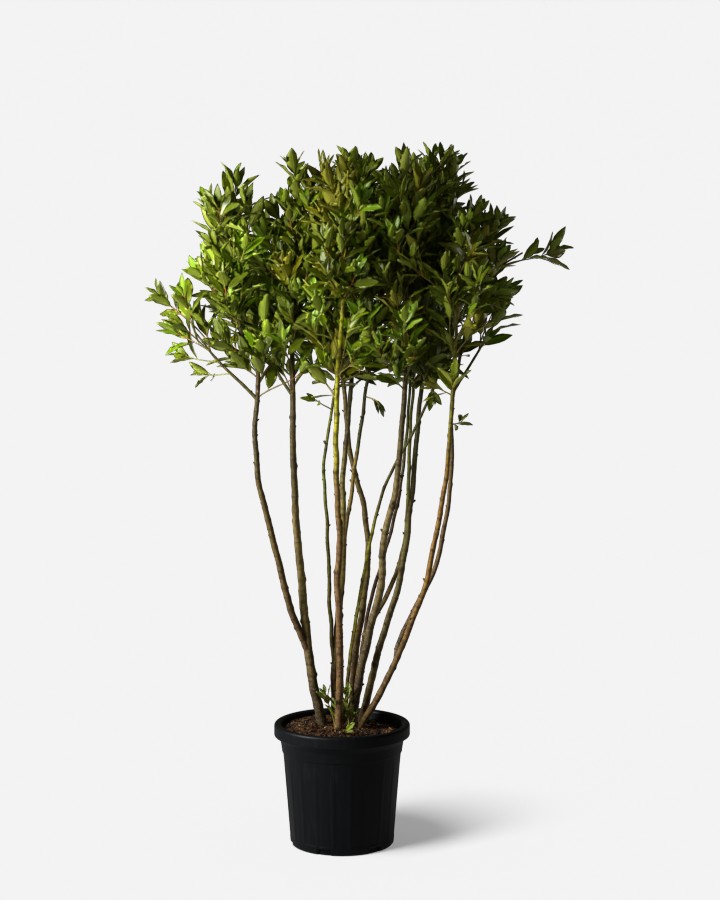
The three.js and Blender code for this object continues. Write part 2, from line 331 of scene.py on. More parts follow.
def panel_depth(height, angle):
    """How far the wall is let in: the panel's depth inside an upright panel with a round top, and
    nothing outside it, with a soft step at its edge."""
    pitch = TAU / PANELS
    aside = np.abs((angle + pitch / 2) % pitch - pitch / 2) * body_radius(height)
    share = np.clip(aside / PANEL_HALF_WIDTH, 0, 1)
    top = PANEL_TOP - PANEL_DOME * (1 - np.sqrt(1 - share ** 2))
    inside = ease((PANEL_HALF_WIDTH - aside) / (5 * MM)) * ease((top - height) / (5 * MM))
    return PANEL_DEPTH * inside * ease((height - PANEL_BOTTOM) / (6 * MM))


def spin(outside, inside):
    """Rings of the pot: an outer and an inner profile of (radius, height) carried round the axis,
    the outer one let in at the panels, and both pushed in at the drain notches."""
    middles = DRAIN_TURN + turns(DRAINS)[:, None]
    edges = (middles + DRAIN_EDGES / FOOT_RADIUS).ravel() % TAU
    angle = np.unique(np.concatenate([turns(PANELS * PANEL_COLUMNS), edges]))
    notched = near_drain(angle)[None, :] < DRAIN_HALF_WIDTH
    rings = []
    for profile, dent, has_panels in ((outside, DRAIN_DEPTH, 1), (inside, DRAIN_DEPTH + 2 * MM, 0)):
        radius = profile[:, :1] + 0 * angle
        height = profile[:, 1:] + 0 * angle
        radius = radius - has_panels * panel_depth(height, angle) * (height < COLLAR_BOTTOM)
        low = notched & (height < DRAIN_HEIGHT)
        radius = np.where(low, np.minimum(radius, FOOT_RADIUS - dent), radius)
        rings.append(about_axis(radius, angle, height))
    return np.concatenate(rings)


body_heights = np.concatenate([
    [13 * MM, DRAIN_HEIGHT - 0.2 * MM, DRAIN_HEIGHT + 0.2 * MM, PANEL_BOTTOM],
    np.linspace(PANEL_BOTTOM + 2 * MM, PANEL_BOTTOM + 8 * MM, 4),
    np.linspace(60 * MM, 230 * MM, 6),
    np.linspace(PANEL_TOP - 26 * MM, PANEL_TOP + 1 * MM, 12),
])
lip = POT_HEIGHT - LIP_ROUNDING
mouth = COLLAR_RADIUS - POT_WALL
pot_outside = np.concatenate([
    straight((0.02, 0), (FOOT_RADIUS - 11 * MM, 0), 5),
    arc((FOOT_RADIUS - FOOT_ROUNDING, FOOT_ROUNDING), FOOT_ROUNDING, -90, 0, 6),
    np.stack([body_radius(body_heights), body_heights], 1),
    arc((SHOULDER_RADIUS + 1.5 * MM, COLLAR_BOTTOM - 2 * MM), 1.5 * MM, 180, 90, 4),
    arc((COLLAR_RADIUS - COLLAR_DRAFT - 1 * MM, COLLAR_BOTTOM + 1 * MM), 1 * MM, -90, 0, 4),
    straight((COLLAR_RADIUS - COLLAR_DRAFT, COLLAR_BOTTOM + 3 * MM),
             (COLLAR_RADIUS, BAND_BOTTOM), 5),
    arc((RIM_RADIUS - 3 * MM, BAND_BOTTOM + BAND_SLOPE), 3 * MM, -50, 0, 5),
    straight((RIM_RADIUS, BAND_BOTTOM + 20 * MM), (RIM_RADIUS, lip), 4),
    arc((RIM_RADIUS - LIP_ROUNDING, lip), LIP_ROUNDING, 10, 90, 9),
])
pot_inside = np.concatenate([
    arc((mouth + LIP_ROUNDING, lip), LIP_ROUNDING, 90, 180, 7),
    straight((mouth, lip - 2 * MM), (mouth - COLLAR_DRAFT, COLLAR_BOTTOM), 6),
    straight((mouth - COLLAR_DRAFT - 0.5 * MM, COLLAR_BOTTOM - 6 * MM),
             (FOOT_RADIUS - POT_WALL - 1 * MM, DRAIN_HEIGHT + 0.6 * MM), 5),
    straight((FOOT_RADIUS - POT_WALL - 1 * MM, DRAIN_HEIGHT - 0.6 * MM),
             (FOOT_RADIUS - POT_WALL - 1 * MM, FOOT_ROUNDING), 2),
    straight((FOOT_RADIUS - 3 * POT_WALL, POT_WALL), (0.02, POT_WALL), 4),
])


def black_plastic():
    """Moulded black polypropylene: faint cloudy sheen, a fine grain, and patches of dust and
    scuffs.
    """
    finish = Finish("black_plastic")
    cloud = finish.noise(9, 3)
    grain = finish.noise(900, 2)
    scuffs = finish.noise(60, 4, stretch=(1, 1, 0.25))
    worn = finish.rise(scuffs, 0.52, 0.72)
    base = finish.blend(cloud * 0.8, "05070a", "090b0f")
    base = finish.blend(worn * 0.18, base, "1d1f21")
    return finish.shade(
        Base_Color=base,
        Roughness=0.4 + cloud * 0.14 + worn * 0.12,
        Specular_IOR_Level=0.16,
        Normal=finish.bump(grain * 0.5 + scuffs, 0.25 * MM),
    )


pot_vertices, pot_faces = skin(spin(pot_outside, pot_inside))
pot = piece("pot_moulded", pot_vertices, pot_faces, [black_plastic()])
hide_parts("pot")

# ---------------------------------------------------------------------------- compost
# Coarse bark compost fills the pot to below the rim: a moist, dark mound with loose chips of
# pine bark and a few white grains of perlite on it.

SEED = 11
COMPOST_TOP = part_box("compost")[1].z
COMPOST_EDGE = COLLAR_RADIUS - POT_WALL - 1.6 * MM
COMPOST_FOOT = FOOT_RADIUS - DRAIN_DEPTH - 2.5 * MM
COMPOST_SIDES = 120
COMPOST_ROWS = 44
MOUND_HEIGHT = 5 * MM
RISE_LEFT = 0.042  # metres that the surface rises for each metre to the left
RISE_BACK = 0.012
EDGE_DIP = 2 * MM
CHIP_COUNT = 2600
CHIP_SIZES = [(5, 19), (3, 8), (1.5, 4)]  # least and greatest length, width and height, in mm
CHIP_SHARES = [0.42, 0.34, 0.12, 0.12]  # dark, russet, tan and grey
PERLITE_COUNT = 45
PERLITE_SIZES = [(2, 5), (2, 4), (2, 4)]


def swells(places, size, seed, waves=14):
    """Smooth random height, about -1 to 1: the mean of sine waves of one length, each in its own
    random direction and phase."""
    rng = np.random.default_rng(seed)
    ways = rng.normal(size=(waves, places.shape[-1]))
    ways *= TAU / size / np.linalg.norm(ways, axis=1, keepdims=True)
    ways *= rng.uniform(0.6, 1.5, (waves, 1))
    return np.sin(places @ ways.T + rng.uniform(0, TAU, waves)).sum(-1) / math.sqrt(waves)


def compost_height(places):
    """Height of the compost's surface: a low mound, tilted up to the left and the back, small
    lumps, and a dip where it meets the wall."""
    x, y = places[..., 0], places[..., 1]
    radius = np.hypot(x, y)
    mound = MOUND_HEIGHT * (1 - (radius / COMPOST_EDGE) ** 2) - RISE_LEFT * x + RISE_BACK * y
    lumps = (2.2 * swells(places, 45 * MM, SEED) + 1.0 * swells(places, 14 * MM, SEED + 1)) * MM
    edge = EDGE_DIP * ease((radius - 0.8 * COMPOST_EDGE) / (0.2 * COMPOST_EDGE))
    return COMPOST_TOP + mound + lumps - edge


def compost_rings():
    """Rings of the compost: its foot and wall inside the pot, then its surface from the wall to
    the middle, lifted by the surface's height."""
    angle = turns(COMPOST_SIDES)
    wall = np.array([
        (50 * MM, POT_WALL + 0.5 * MM), (COMPOST_FOOT, POT_WALL + 0.5 * MM),
        (COMPOST_FOOT, DRAIN_HEIGHT + 1 * MM), (FOOT_RADIUS - 6 * MM, DRAIN_HEIGHT + 5 * MM),
        (COMPOST_EDGE - COLLAR_DRAFT, COLLAR_BOTTOM), (COMPOST_EDGE, COMPOST_TOP - 12 * MM),
    ])
    surface = straight((COMPOST_EDGE, 0), (5 * MM, 0), COMPOST_ROWS)
    profile = np.concatenate([wall, surface])
    rings = about_axis(profile[:, :1], angle, profile[:, 1:] + 0 * angle)
    rings[len(wall):, :, 2] = compost_height(rings[len(wall):, :, :2])
    return rings


def earthy(name, dark, light, grain, roughness=0.95):
    """A dull, crumbly finish: two shades of one colour in fine lumps."""
    finish = Finish(name)
    lumps = finish.noise(grain, 5)
    fine = finish.noise(grain * 4, 3)
    base = finish.blend(finish.rise(lumps, 0.35, 0.65), dark, light)
    return finish.shade(
        Base_Color=base,
        Roughness=roughness - fine * 0.15,
        Specular_IOR_Level=0.2,
        Normal=finish.bump(lumps + fine * 0.5, 1.2 * MM),
    )


def turned(yaw, pitch, roll):
    """Turning matrices (n x 3 x 3) from three arrays of angles: roll about X, pitch about Y, then
    yaw about Z."""
    cy, sy, cp, sp, cr, sr = (f(a) for a in (yaw, pitch, roll) for f in (np.cos, np.sin))
    rows = [[cy * cp, cy * sp * sr - sy * cr, cy * sp * cr + sy * sr],
            [sy * cp, sy * sp * sr + cy * cr, sy * sp * cr - cy * sr],
            [-sp, cp * sr, cp * cr]]
    return np.moveaxis(np.array(rows), 2, 0)


def scattered_chips(count, sizes, tilt, rng):
    """Vertices (n x 8 x 3) and faces of loose chips: boxes with each corner pushed about by up to
    a quarter, turned at random about the upright and a little over, on the compost's surface."""
    corner = np.array([[x, y, z] for z in (-1, 1) for y in (-1, 1) for x in (-1, 1)]) / 2
    size = np.stack([rng.uniform(low, high, count) for low, high in sizes], 1) * MM
    chips = corner * (1 + rng.uniform(-0.5, 0.2, (count, 8, 3))) * size[:, None, :]
    yaw = rng.uniform(0, TAU, count)
    pose = turned(yaw, rng.normal(0, tilt, count), rng.normal(0, tilt, count))
    chips = np.einsum("nij,nkj->nki", pose, chips)
    radius = np.sqrt(rng.uniform(0, 1, count)) * (COMPOST_EDGE - 6 * MM)
    angle = rng.uniform(0, TAU, count)
    place = about_axis(radius, angle, np.zeros(count))
    place[:, 2] = compost_height(place[:, :2]) + rng.uniform(-0.5, 2.5, count) * MM
    chips += place[:, None]
    sides = np.array([[0, 2, 3, 1], [4, 5, 7, 6], [0, 1, 5, 4],
                      [2, 6, 7, 3], [0, 4, 6, 2], [1, 3, 7, 5]])
    faces = (np.arange(count)[:, None, None] * 8 + sides).reshape(-1, 4)
    return chips.reshape(-1, 3), faces


rng = np.random.default_rng(SEED)
compost_vertices, compost_faces = skin(compost_rings())
compost = piece("compost_fill", compost_vertices, compost_faces,
                [earthy("moist_compost", "080402", "190f06", 140)])
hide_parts("compost")

bark_shades = [
    earthy("chip_dark", "180f06", "2a1b0c", 220),
    earthy("chip_russet", "3c210f", "5e361a", 220),
    earthy("chip_tan", "583a1c", "7c5a32", 220),
    earthy("chip_grey", "2a2115", "453927", 220),
    earthy("perlite", "b9b4ab", "e6e2da", 300, roughness=0.85),
]
chip_vertices, chip_faces = scattered_chips(CHIP_COUNT, CHIP_SIZES, 0.3, rng)
grain_vertices, grain_faces = scattered_chips(PERLITE_COUNT, PERLITE_SIZES, 0.8, rng)
chip_shades = np.repeat(rng.choice(len(CHIP_SHARES), CHIP_COUNT, p=CHIP_SHARES), 6)
grain_shades = np.full(len(grain_faces), len(CHIP_SHARES))
chips = piece("compost_chips", np.concatenate([chip_vertices, grain_vertices]),
              [chip_faces, grain_faces + len(chip_vertices)], bark_shades,
              shades=np.concatenate([chip_shades, grain_shades]), rounded=False)

# ---------------------------------------------------------------------------- stems and boughs
# Slender living stems with smooth, thin bark: brown at the foot, olive to bright green higher up,
# with painted shade from the crown darkening most of them up there.
# Each leaf scar is a low ring with a bud on one side, and old shoots leave short pruned stubs.
# A side stem leaves its parent in a small collar.

LIMB_SIDES = 7  # of a limb's solid in the frame
STEM_SIDES = 14
RING_STEP = 3 * MM
RING_GAP = 9 * MM  # least height between two rings of a limb's solid
FACET_SHARE = 0.94  # a round limb's radius beside the corner radius of its seven-sided solid
FULLER = {"stem_slender": 1.25, "stem_diagonal": 1.3, "stem_front": 1.1}  # a little more
SWAY = 0.9 * MM
UNEVEN = 0.035  # share of the radius
FURROW = 0.03
COLLAR_SWELL = 0.35
COLLAR_REACH = 14 * MM
BARE_FOOT = COMPOST_TOP + 80 * MM
BARE_TOP = 1.3  # metres; above this the limbs run in foliage
STUBS = 4  # pruned stubs on each limb's bare length
STUB_MARK = 0.55  # the share of a leaf scar's dark colour that buds and stubs take
SCAR_GAPS = (13, 36)  # mm from one leaf scar to the next
KNOT_EVERY = 6

# Bark of each limb: colour at the foot, in the middle and high up, the two heights in metres
# between which it turns from the one to the next, and the colour of its patches. The colours are
# the bark's own tones mixed with painted light and shade: the colour high up is darkened as painted
# shade from the crown, and some limbs are lightened to offset shade from other stems.
BARK_AND_SHADE = {
    "stem_left_inner": ("3c2f19", "8a763f", "433a13", 0.42, 1.15, "412e18"),
    "stem_left_outer": ("4d361d", "5b491d", "3c350d", 0.6, 1.2, "432513"),
    "stem_front": ("71502c", "7c5c30", "a6a200", 0.62, 1.18, "432912"),
    "stem_middle": ("5c472c", "90833f", "3a3709", 0.5, 1.2, "432f18"),
    "stem_middle_right": ("8a7230", "7d6820", "393e08", 0.95, 1.2, "412f13"),
    "stem_slender": ("474009", "505006", "636f06", 0.6, 1.1, "262306"),
    "stem_back": ("604018", "675421", "534412", 0.5, 1.1, "3d2a11"),
    "stem_diagonal": ("6e5912", "a2a31c", "4b4d06", 0.5, 1.0, "443d0e"),
    "stem_right_inner": ("362812", "8a7849", "3e3611", 0.5, 1.2, "332613"),
    "stem_right_slender": ("452715", "422b0f", "4e5607", 0.7, 1.2, "251308"),
    "stem_right_back": ("7c6530", "798122", "656a1c", 0.8, 1.1, "44381a"),
    "stem_right": ("6c5a30", "5d5528", "3e3f0f", 0.5, 1.2, "3a2e19"),
    "stem_far_right_front": ("64491f", "865f20", "7a7506", 0.55, 1.25, "452d11"),
    "stem_far_right_back": ("493822", "634a25", "4a4219", 0.6, 1.25, "2e1f12"),
    "bough_far_left": ("534e19", "514c17", "545b15", 1.3, 1.5, "3c2313"),
    "bough_left": ("59511a", "585019", "5a5e18", 1.3, 1.5, "412615"),
    "bough_back_left": ("5d581d", "59551a", "555c18", 1.3, 1.6, "362511"),
    "bough_right_spray": ("4a4519", "4c4b13", "515716", 1.6, 1.75, "2e1d0c"),
    "bough_right_low": ("4a4519", "4c4b13", "515716", 1.3, 1.5, "2e1d0c"),
}


def node_places(name):
    """The vertices of a solid of the frame, each place once."""
    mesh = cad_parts[name].data
    places = np.empty(len(mesh.vertices) * 3, np.float32)
    mesh.vertices.foreach_get("co", places)
    return np.unique(places.reshape(-1, 3).round(5), axis=0).astype(float)


def limb_line(name):
    """Middle line and radii of a limb. Its vertices, sorted by height, part into level groups
    where a gap opens; a whole ring has one vertex for each side, and one more at an end. The mean
    of a ring is a point of the line, and the mean distance from it the radius."""
    places = node_places(name)
    places = places[np.argsort(places[:, 2])]
    breaks = np.flatnonzero(np.diff(places[:, 2]) > RING_GAP) + 1
    groups = np.split(places, breaks)
    rings = [group for group in groups if len(group) in (LIMB_SIDES, LIMB_SIDES + 1)]
    points = np.array([ring.mean(0) for ring in rings])
    away = [np.sort(np.linalg.norm(ring - ring.mean(0), axis=1)) for ring in rings]
    radii = [steps[-LIMB_SIDES:].mean() for steps in away]
    return points, np.array(radii)


def distances(points):
    """Distance along a line of points from the first to each of them."""
    return np.r_[0, np.cumsum(np.linalg.norm(np.diff(points, axis=0), axis=1))]


def read_off(at, run, points):
    """Points, or directions, read off at some distances along the line they belong to."""
    return np.stack([np.interp(at, run, points[:, a]) for a in range(3)], 1)


def smooth_line(points, step, *values):
    """A cubic through the points, resampled evenly. Between two points the place blends both
    places and both slopes (Hermite), a slope being the difference of the neighbours over their
    chord. Values that go with the points are read off along it."""
    points = np.asarray(points, float)
    chord = distances(points)
    slopes = np.gradient(points, chord, axis=0)
    fine = np.linspace(0, chord[-1], int(chord[-1] / step) * 2 + 8)
    i = np.clip(np.searchsorted(chord, fine, side="right") - 1, 0, len(chord) - 2)
    span = (chord[i + 1] - chord[i])[:, None]
    t = (fine - chord[i])[:, None] / span
    place = ((1 + 2 * t) * (1 - t) ** 2 * points[i] + t * (1 - t) ** 2 * span * slopes[i]
             + t ** 2 * (3 - 2 * t) * points[i + 1] + t ** 2 * (t - 1) * span * slopes[i + 1])
    length = distances(place)
    even = np.linspace(0, length[-1], max(int(length[-1] / step), 4) + 1)
    tracks = [np.interp(even, length, np.interp(fine, chord, value)) for value in values]
    return read_off(even, length, place), *tracks


def unit(vectors):
    """Vectors made one long."""
    return vectors / np.linalg.norm(vectors, axis=-1, keepdims=True)


def headings(line):
    """Unit directions along a line of points."""
    return unit(np.gradient(line, axis=0))


def tube(line, radius, sides):
    """Rings round a line: the line plus the radius (rings, or rings x sides) times the cosine of
    the angle along one crosswise direction and its sine along the other."""
    way = headings(line)
    steady = np.eye(3)[np.argmin(np.abs(way.mean(0)))]
    across = unit(np.cross(steady, way))
    back = np.cross(way, across)
    angle = turns(sides)
    spokes = across[:, None] * np.cos(angle)[:, None] + back[:, None] * np.sin(angle)[:, None]
    return line[:, None] + spokes * np.reshape(radius, (len(line), -1, 1))


def joined(skins):
    """Several skins as one list of vertices and faces."""
    places = []
    faces = []
    start = 0
    for vertices, parts in skins:
        places.append(vertices)
        faces.extend(part + start for part in parts)
        start += len(vertices)
    return np.concatenate(places), faces


def scars(along, girth, rng):
    """Leaf scars on a limb: the row and the side of each, how dark the bark is there (rings x
    sides, 0 to 1) and its relief. At spaced-out heights lies a narrow low ring, and on one side
    of it, less than half a turn on each time, the swelling under a bud. Every sixth is a knot,
    broader and higher."""
    most = int(along[-1] / (SCAR_GAPS[0] * MM)) + 1
    middles = np.cumsum(rng.uniform(*SCAR_GAPS, most) * MM)
    middles = middles[middles < along[-1] - 8 * MM]
    count = np.arange(len(middles))
    sides = count * 2.6 + rng.uniform(0, TAU, len(middles)) * 0.25
    knot = (count + rng.integers(KNOT_EVERY)) % KNOT_EVERY == 0
    angle = turns(STEM_SIDES)
    ring = np.exp(-((along[:, None] - middles) / np.where(knot, 6 * MM, 2.2 * MM)) ** 2)
    away = (angle[:, None] - sides + math.pi) % TAU - math.pi
    bud = np.exp(-(away / np.where(knot, 0.9, 0.6)) ** 2)
    mark = np.einsum("rk,sk->rs", ring, rng.uniform(0.25, 0.8, len(middles)) + 0.5 * bud)
    swell = np.where(knot, 0.3 + 2.6 * bud, 0.3 + 0.6 * bud)
    relief = np.einsum("rk,sk->rs", ring, swell) * (0.3 + girth[:, None] / (26 * MM)) * MM
    budded = rng.uniform(size=len(middles)) < 0.3
    rows = np.searchsorted(along, middles)
    return rows[budded], sides[budded], np.clip(mark, 0, 1), relief


def bud(line, radius, row, side):
    """A dormant bud: a short cone, five-sided and bent upward, that stands out of the bark."""
    way = headings(line)[row]
    across = unit(np.cross([0, 1, 0], way))
    out = across * math.cos(side) + np.cross(way, across) * math.sin(side)
    reach = np.array([[-0.6, -0.8], [0.4, 0.2], [1.2, 1.5], [1.5, 3.0]]) * MM
    core = line[row] + out * (radius + reach[:, :1]) + way * reach[:, 1:]
    return skin(tube(core, np.array([1.7, 1.5, 1.0, 0.35]) * MM, 5))


def stub(line, girth, at, rng):
    """A short pruned stub: a tapering tube that leaves the limb upward at about 50 degrees."""
    way = headings(line)[at]
    aside = unit(np.cross(way, rng.normal(size=3)))
    out = 0.75 * aside + 0.65 * way
    reach = girth[at] / 2 + rng.uniform(4, 11) * MM
    core = line[at] + out * np.linspace(0.2, 1, 5)[:, None] * reach
    thick = rng.uniform(1.6, 2.8) * MM * np.array([1.5, 1.25, 1.05, 1.0, 0.9])
    return skin(tube(core, thick, 8))


def bark(name, foot, middle, high, low_height, top_height, patch):
    """Thin living bark. Its colour turns with height from the foot's to the middle's to the top's,
    with long soft patches, dark stains, fine pale pores and darker leaf scars. The colours by
    height are partly painted light and shade: the top's is darkened for the crown's shade."""
    finish = Finish("bark_" + name)
    own = finish.node("TexCoord", output="Object")
    height = finish.node("SeparateXYZ", sockets={"Vector": own}, output="Z")
    wander = finish.noise(7, 2)
    share = (height - low_height) / (top_height - low_height) + (wander - 0.5) * 0.5
    stops = [(0.0, paint(foot)), (0.35, paint(middle)), (0.7, paint(middle)), (1.0, paint(high))]
    base = finish.ramp(share, *stops)
    long_patches = finish.noise(55, 3, stretch=(1, 1, 0.3))
    base = finish.blend(finish.rise(long_patches, 0.5, 0.66) * 0.7, base, patch)
    spots = finish.noise(130, 4, stretch=(1, 1, 0.6))
    base = finish.blend(finish.rise(spots, 0.52, 0.6, 0.6), base, "2c1c10")
    pores = finish.noise(380, 3, stretch=(1, 1, 0.7))
    base = finish.blend(finish.rise(pores, 0.57, 0.66, 0.5), base, "b09c60")
    scar = finish.node("Attribute", {"attribute_name": "scar"}, output="Fac")
    base = finish.blend(scar * 0.8, base, "26190f")
    fibres = finish.noise(260, 4, stretch=(1, 1, 0.18))
    return finish.shade(
        Base_Color=base,
        Roughness=0.62 + fibres * 0.25,
        Specular_IOR_Level=0.3,
        Normal=finish.bump(fibres + pores * 0.4, 0.5 * MM),
    )


def root_of(points, lines):
    """The start of a side limb: the point of another limb's middle line that its own, carried on
    backward and straight, passes nearest."""
    back = points[0] - headings(points)[0] * np.linspace(10, 140, 27)[:, None] * MM
    others = np.concatenate([line for line, _ in lines.values()])
    gaps = np.linalg.norm(others[:, None] - back, axis=2)
    return others[np.unravel_index(np.argmin(gaps), gaps.shape)[0]]


limb_lines = {}
for name in BARK_AND_SHADE:
    points, radii = limb_line(name)
    starts_in_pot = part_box(name)[0].z < COMPOST_TOP + 5 * MM
    if starts_in_pot:
        points = np.concatenate([points[:1] - [0, 0, 12 * MM], points])
    else:
        points = np.concatenate([[root_of(points, limb_lines)], points])
    radii = np.r_[radii[0], radii]
    limb_lines[name] = smooth_line(points, RING_STEP, radii)

for number, name in enumerate(BARK_AND_SHADE):
    rng = np.random.default_rng(SEED + 20 + number)
    line, radius = limb_lines[name]
    along = np.arange(len(line)) * RING_STEP
    first_seed = SEED + 50 + 2 * number
    sway = np.stack([swells(along[:, None], 150 * MM, first_seed + i) for i in (0, 1)], 1)
    fade = ease(along / 0.1)[:, None] * ease((along[-1] - along) / 0.1)[:, None]
    line = line + np.pad(sway, ((0, 0), (0, 1))) * SWAY * fade
    is_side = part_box(name)[0].z > COMPOST_TOP + 5 * MM
    joint = np.exp(-along / COLLAR_REACH) * COLLAR_SWELL * is_side
    uneven = UNEVEN * swells(along[:, None], 45 * MM, SEED + 90 + number)
    radius = FACET_SHARE * FULLER.get(name, 1) * radius * (1 + joint + uneven)
    rows, sides, mark, relief = scars(along, 2 * radius, rng)
    angle = turns(STEM_SIDES)
    round_it = 2.5 * MM * np.stack([np.cos(angle), np.sin(angle)], 1)
    wrap = np.stack(np.broadcast_arrays(along[:, None] * 0.12, *round_it.T), -1)
    furrow = FURROW * radius[:, None] * swells(wrap, 4 * MM, SEED + 130 + number)
    skins = [skin(tube(line, radius[:, None] + relief + furrow, STEM_SIDES))]
    skins += [bud(line, radius[row], row, side) for row, side in zip(rows, sides)]
    bare = np.flatnonzero((line[:, 2] < BARE_TOP) & (line[:, 2] > BARE_FOOT))
    if len(bare) > 40:
        skins += [stub(line, 2 * radius, at, rng) for at in rng.choice(bare, STUBS, replace=False)]
    vertices, faces = joined(skins)
    scar = np.full(len(vertices), STUB_MARK)
    scar[:mark.size + 2] = np.r_[mark.ravel(), 0, 0]
    made = piece("bark_" + name, vertices, faces, [bark(name, *BARK_AND_SHADE[name])], marks={"scar": scar})
    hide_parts(name)

# ---------------------------------------------------------------------------- twigs
# The crown's shoots. Each grows from the nearest fitting place on a limb or on an older shoot,
# leaves it at an angle and turns up to the light. Young wood is green to russet, older wood olive
# brown.

SHOOT_SPACING = 59 * MM
LOW_SPACING = 72 * MM  # in the masses of the crown's underside
OWN_SPACING = {  # masses that are thinner or fuller than the rest
    "foliage_far_left": 82 * MM, "foliage_left_low": 80 * MM, "foliage_left_top": 67 * MM,
    "foliage_back_left": 68 * MM, "foliage_inner_left_top": 66 * MM,
    "foliage_outer_right_front": 68 * MM, "foliage_outer_right_low": 80 * MM,
    "foliage_right_spray": 76 * MM,
}
LEAFY = (130 * MM, 215 * MM)  # length of a shoot's leafy end
OWN_LEAFY = {
    "foliage_far_left": (45 * MM, 95 * MM), "foliage_left_low": (90 * MM, 160 * MM),
    "foliage_outer_right_front": (90 * MM, 160 * MM),
    "foliage_outer_right_low": (60 * MM, 120 * MM), "foliage_right_spray": (45 * MM, 90 * MM),
}
SHOOT_LENGTHS = (110 * MM, 210 * MM)
TIP_TRIES = 1900
TIP_MARGIN = 14 * MM  # how far inside its mass a shoot ends; its leaves reach further
CROWN_AXIS = np.array([0.05, 0.05])  # the crown's middle, to the right and to the back
LEAST_RISE = 0.55  # sine of the slope under which a shoot counts as flat
LEAST_AHEAD = 0.5  # cosine of the turn past which it leaves its parent sharply
BESIDE = 0.07  # metres beside a mass from which a limb may bear its shoots
UNDER = 0.1  # and under it
TWIG_SIDES = 6
BEARING = slice(3, 10, 2)  # the points of a shoot's path on which others may grow
YOUNG_SHARE = 0.45
CROWN_FOOT = 1.48  # metres; masses that start below this are the crown's underside
LEAFLESS = 12 * MM  # height of an underside mass's foot in which no leaf sits
SINK = 70 * MM  # how far shoots of the masses above that reach below their own mass
CLEFT = 22 * MM  # how far shoots above the underside reach out of their mass toward the middle
CROWN_TOP = 2.05  # metres, over the crown's middle
CROWN_ROUND = 1.6  # metres that its top falls for each square metre to the front or the back

MASSES = sorted(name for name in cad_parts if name.startswith("foliage"))


def tree_of(name):
    """A search tree over the faces of one of the frame's solids."""
    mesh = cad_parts[name].data
    return BVHTree.FromPolygons([v.co for v in mesh.vertices], [p.vertices for p in mesh.polygons])


def inside(tree, place):
    """Whether a place lies in a closed solid: a line up from it crosses the faces an odd number
    of times."""
    crossings = 0
    start = Vector(place)
    hit = tree.ray_cast(start, Vector((0, 0, 1)))[0]
    while hit is not None:
        crossings += 1
        start = hit + Vector((0, 0, 1e-5))
        hit = tree.ray_cast(start, Vector((0, 0, 1)))[0]
    return crossings % 2 == 1


def shoot_tips(name, rng):
    """Places in a mass where its shoots end: random ones, each kept if it lies inside by the
    margin and no nearer than the spacing to one kept before it. They may lie a little out of the
    mass toward the crown's middle, and under it where it stands on another, so that the masses
    close up. Toward the front and the back the crown's top is rounded off."""
    tree = tree_of(name)
    low, high = (np.array(corner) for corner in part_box(name))
    sunk = np.array([0, 0, SINK if name.endswith("_top") else 0])
    aside = np.array([0, CLEFT if low[2] > CROWN_FOOT else 0, 0])
    spacing = OWN_SPACING.get(name, LOW_SPACING if low[2] < CROWN_FOOT else SHOOT_SPACING)
    kept = []
    for place in rng.uniform(low - sunk - aside, high + aside, (TIP_TRIES, 3)):
        off = place[1] - CROWN_AXIS[1]
        if place[2] > CROWN_TOP - CROWN_ROUND * off ** 2:
            continue
        if any(np.linalg.norm((place - other) * (1, 1, 0.8)) < spacing for other in kept):
            continue
        within = (place, place + sunk, place + aside * np.sign(off))
        if any(inside(tree, at) and tree.find_nearest(Vector(at))[3] > TIP_MARGIN for at in within):
            kept.append(place)
    return np.array(kept)


def bent_path(start, leave, end, arrive):
    """A Hermite curve: both ends' places and slopes blended by the four cubic weights."""
    t = np.linspace(0, 1, 13)[:, None]
    return ((1 + 2 * t) * (1 - t) ** 2 * start + t * (1 - t) ** 2 * leave
            + t ** 2 * (3 - 2 * t) * end + t ** 2 * (t - 1) * arrive)


def grow(tip, places, ways, rng):
    """A shoot's path and the number of the place it grows from. That is the place whose distance
    comes nearest to the shoot's length, with more counted against it the longer the shoot gets,
    where it would rise less than about 33 degrees, and where it would turn sharply from the wood
    that it leaves."""
    away = tip - places
    distance = np.linalg.norm(away, axis=1)
    away /= distance[:, None]
    flat = np.clip(LEAST_RISE - away[:, 2], 0, None)
    turn = np.clip(LEAST_AHEAD - (away * ways).sum(1), 0, None)
    length = rng.uniform(*SHOOT_LENGTHS)
    cost = np.abs(distance - length) + 0.5 * distance + length * (2.2 * flat + 1.2 * turn)
    source = int(np.argmin(cost))
    far = distance[source]
    outward = np.r_[tip[:2] - CROWN_AXIS, 0]
    spread = 0.3 + 2.6 * np.linalg.norm(outward) ** 2
    leave = unit(0.55 * ways[source] + away[source] + rng.normal(0, 0.12, 3)) * far
    arrive = unit(np.array([0, 0, 1]) + unit(outward + 1e-6) * spread + rng.normal(0, 0.2, 3)) * far
    return bent_path(places[source], leave, tip, arrive * 0.9), source


def near_limbs(low, high):
    """Places and directions of the limbs that pass through a box or close beside it, and under it
    unless the box is at the crown's foot."""
    places = np.concatenate([line[4::6] for line, _ in limb_lines.values()])
    ways = np.concatenate([headings(line)[4::6] for line, _ in limb_lines.values()])
    under = UNDER if low[2] > CROWN_FOOT else 0
    near = (places > low - (BESIDE, BESIDE, under)).all(1)
    near &= (places < high + (BESIDE, BESIDE, 0)).all(1)
    return places[near], ways[near]


